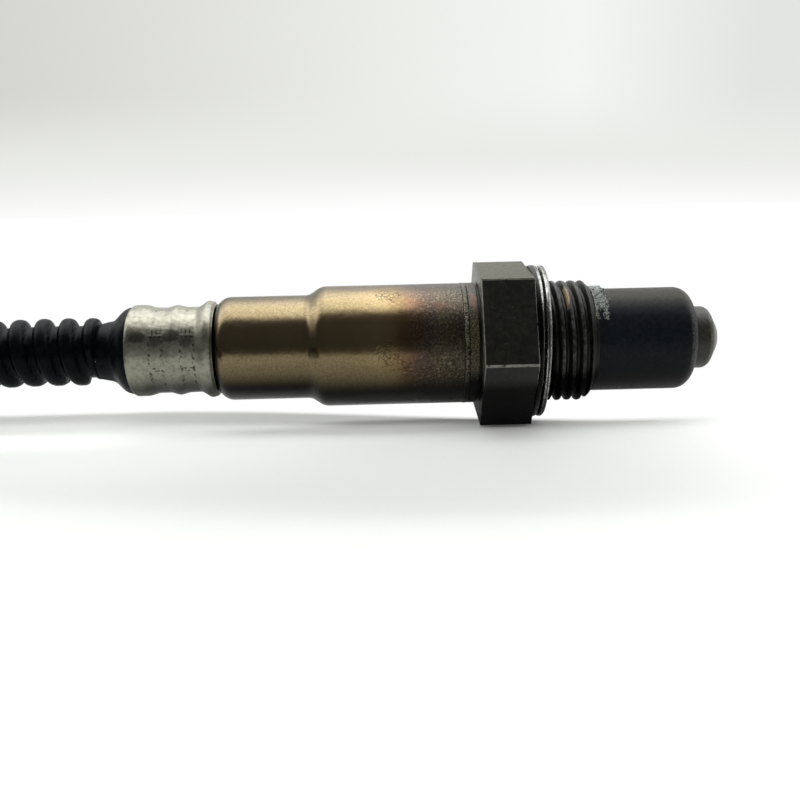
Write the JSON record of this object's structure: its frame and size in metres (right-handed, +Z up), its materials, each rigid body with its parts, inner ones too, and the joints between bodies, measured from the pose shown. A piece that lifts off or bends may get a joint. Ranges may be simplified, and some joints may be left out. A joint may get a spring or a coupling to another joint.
{
  "type": "oxygen sensor",
  "caption": "Heated oxygen sensor with threaded hexagon housing, folded gasket, two nested protection tubes, stepped sleeve, crimped collar and a coiled cable hose with plug.",
  "frame": {"origin": "on the sensor's axis, in the plane where its gasket seats on the exhaust boss", "axes": "+X along the sensor's axis towards the probe's tip, +Z up from the bench it lies on, +Y completes a right-handed set; the cable leaves at -X"},
  "size_m": [0.2466, 0.1217, 0.0301],
  "materials": {
    "housing_steel": "darkened by heat, satin",
    "gasket_steel": "bright folded sheet",
    "outer_tube_steel": "blue-black heat scale",
    "inner_tube_steel": "olive-brown heat scale",
    "sleeve_steel": "bronze heat tint",
    "weld_steel": "dark weld bead",
    "collar_steel": "pressed, satin",
    "hose_rubber": "satin black",
    "tie_plastic": "black nylon",
    "plug_plastic": "black",
    "plug_cap_plastic": "dark grey",
    "lock_plastic": "red",
    "silicone": "orange, matte",
    "ceramic": "white ceramic",
    "talc": "pressed powder",
    "element_ceramic": "fired zirconia",
    "spring_steel": "bright",
    "contact_nickel": "bright",
    "terminal_brass": "tinned",
    "seal_rubber": "black fluor rubber",
    "wire_white": "extruded",
    "wire_grey": "extruded",
    "wire_black": "extruded",
    "wire_yellow": "extruded"
  },
  "bodies": {
    "root": {"housing": "housing_steel", "seal_gasket": "gasket_steel", "outer_protection_tube": "outer_tube_steel", "inner_protection_tube": "inner_tube_steel", "sensor_element": "element_ceramic", "front_bush": "ceramic", "talc_packing": "talc", "rear_bush": "ceramic", "press_ring": "spring_steel", "contact_holder_upper": "ceramic", "contact_holder_lower": "ceramic", "contact_spring_ring": "spring_steel", "contact_1": "contact_nickel", "contact_2": "contact_nickel", "contact_3": "contact_nickel", "contact_4": "contact_nickel", "contact_5": "contact_nickel", "wire_1": "wire_black", "wire_2": "wire_white", "wire_3": "wire_grey", "wire_4": "wire_yellow", "wire_5": "wire_white", "grommet": "seal_rubber", "upper_sleeve": "sleeve_steel", "sleeve_weld": "weld_steel", "crimp_collar": "collar_steel", "hose_cuff": "hose_rubber", "hose_run": "hose_rubber", "hose_coil": "hose_rubber", "coil_tie": "tie_plastic", "plug_housing": "plug_plastic", "plug_rear_cap": "plug_cap_plastic", "plug_lock": "lock_plastic", "plug_seal": "silicone", "plug_wire_seal": "silicone", "plug_terminals": "terminal_brass"}
  },
  "joints": []
}
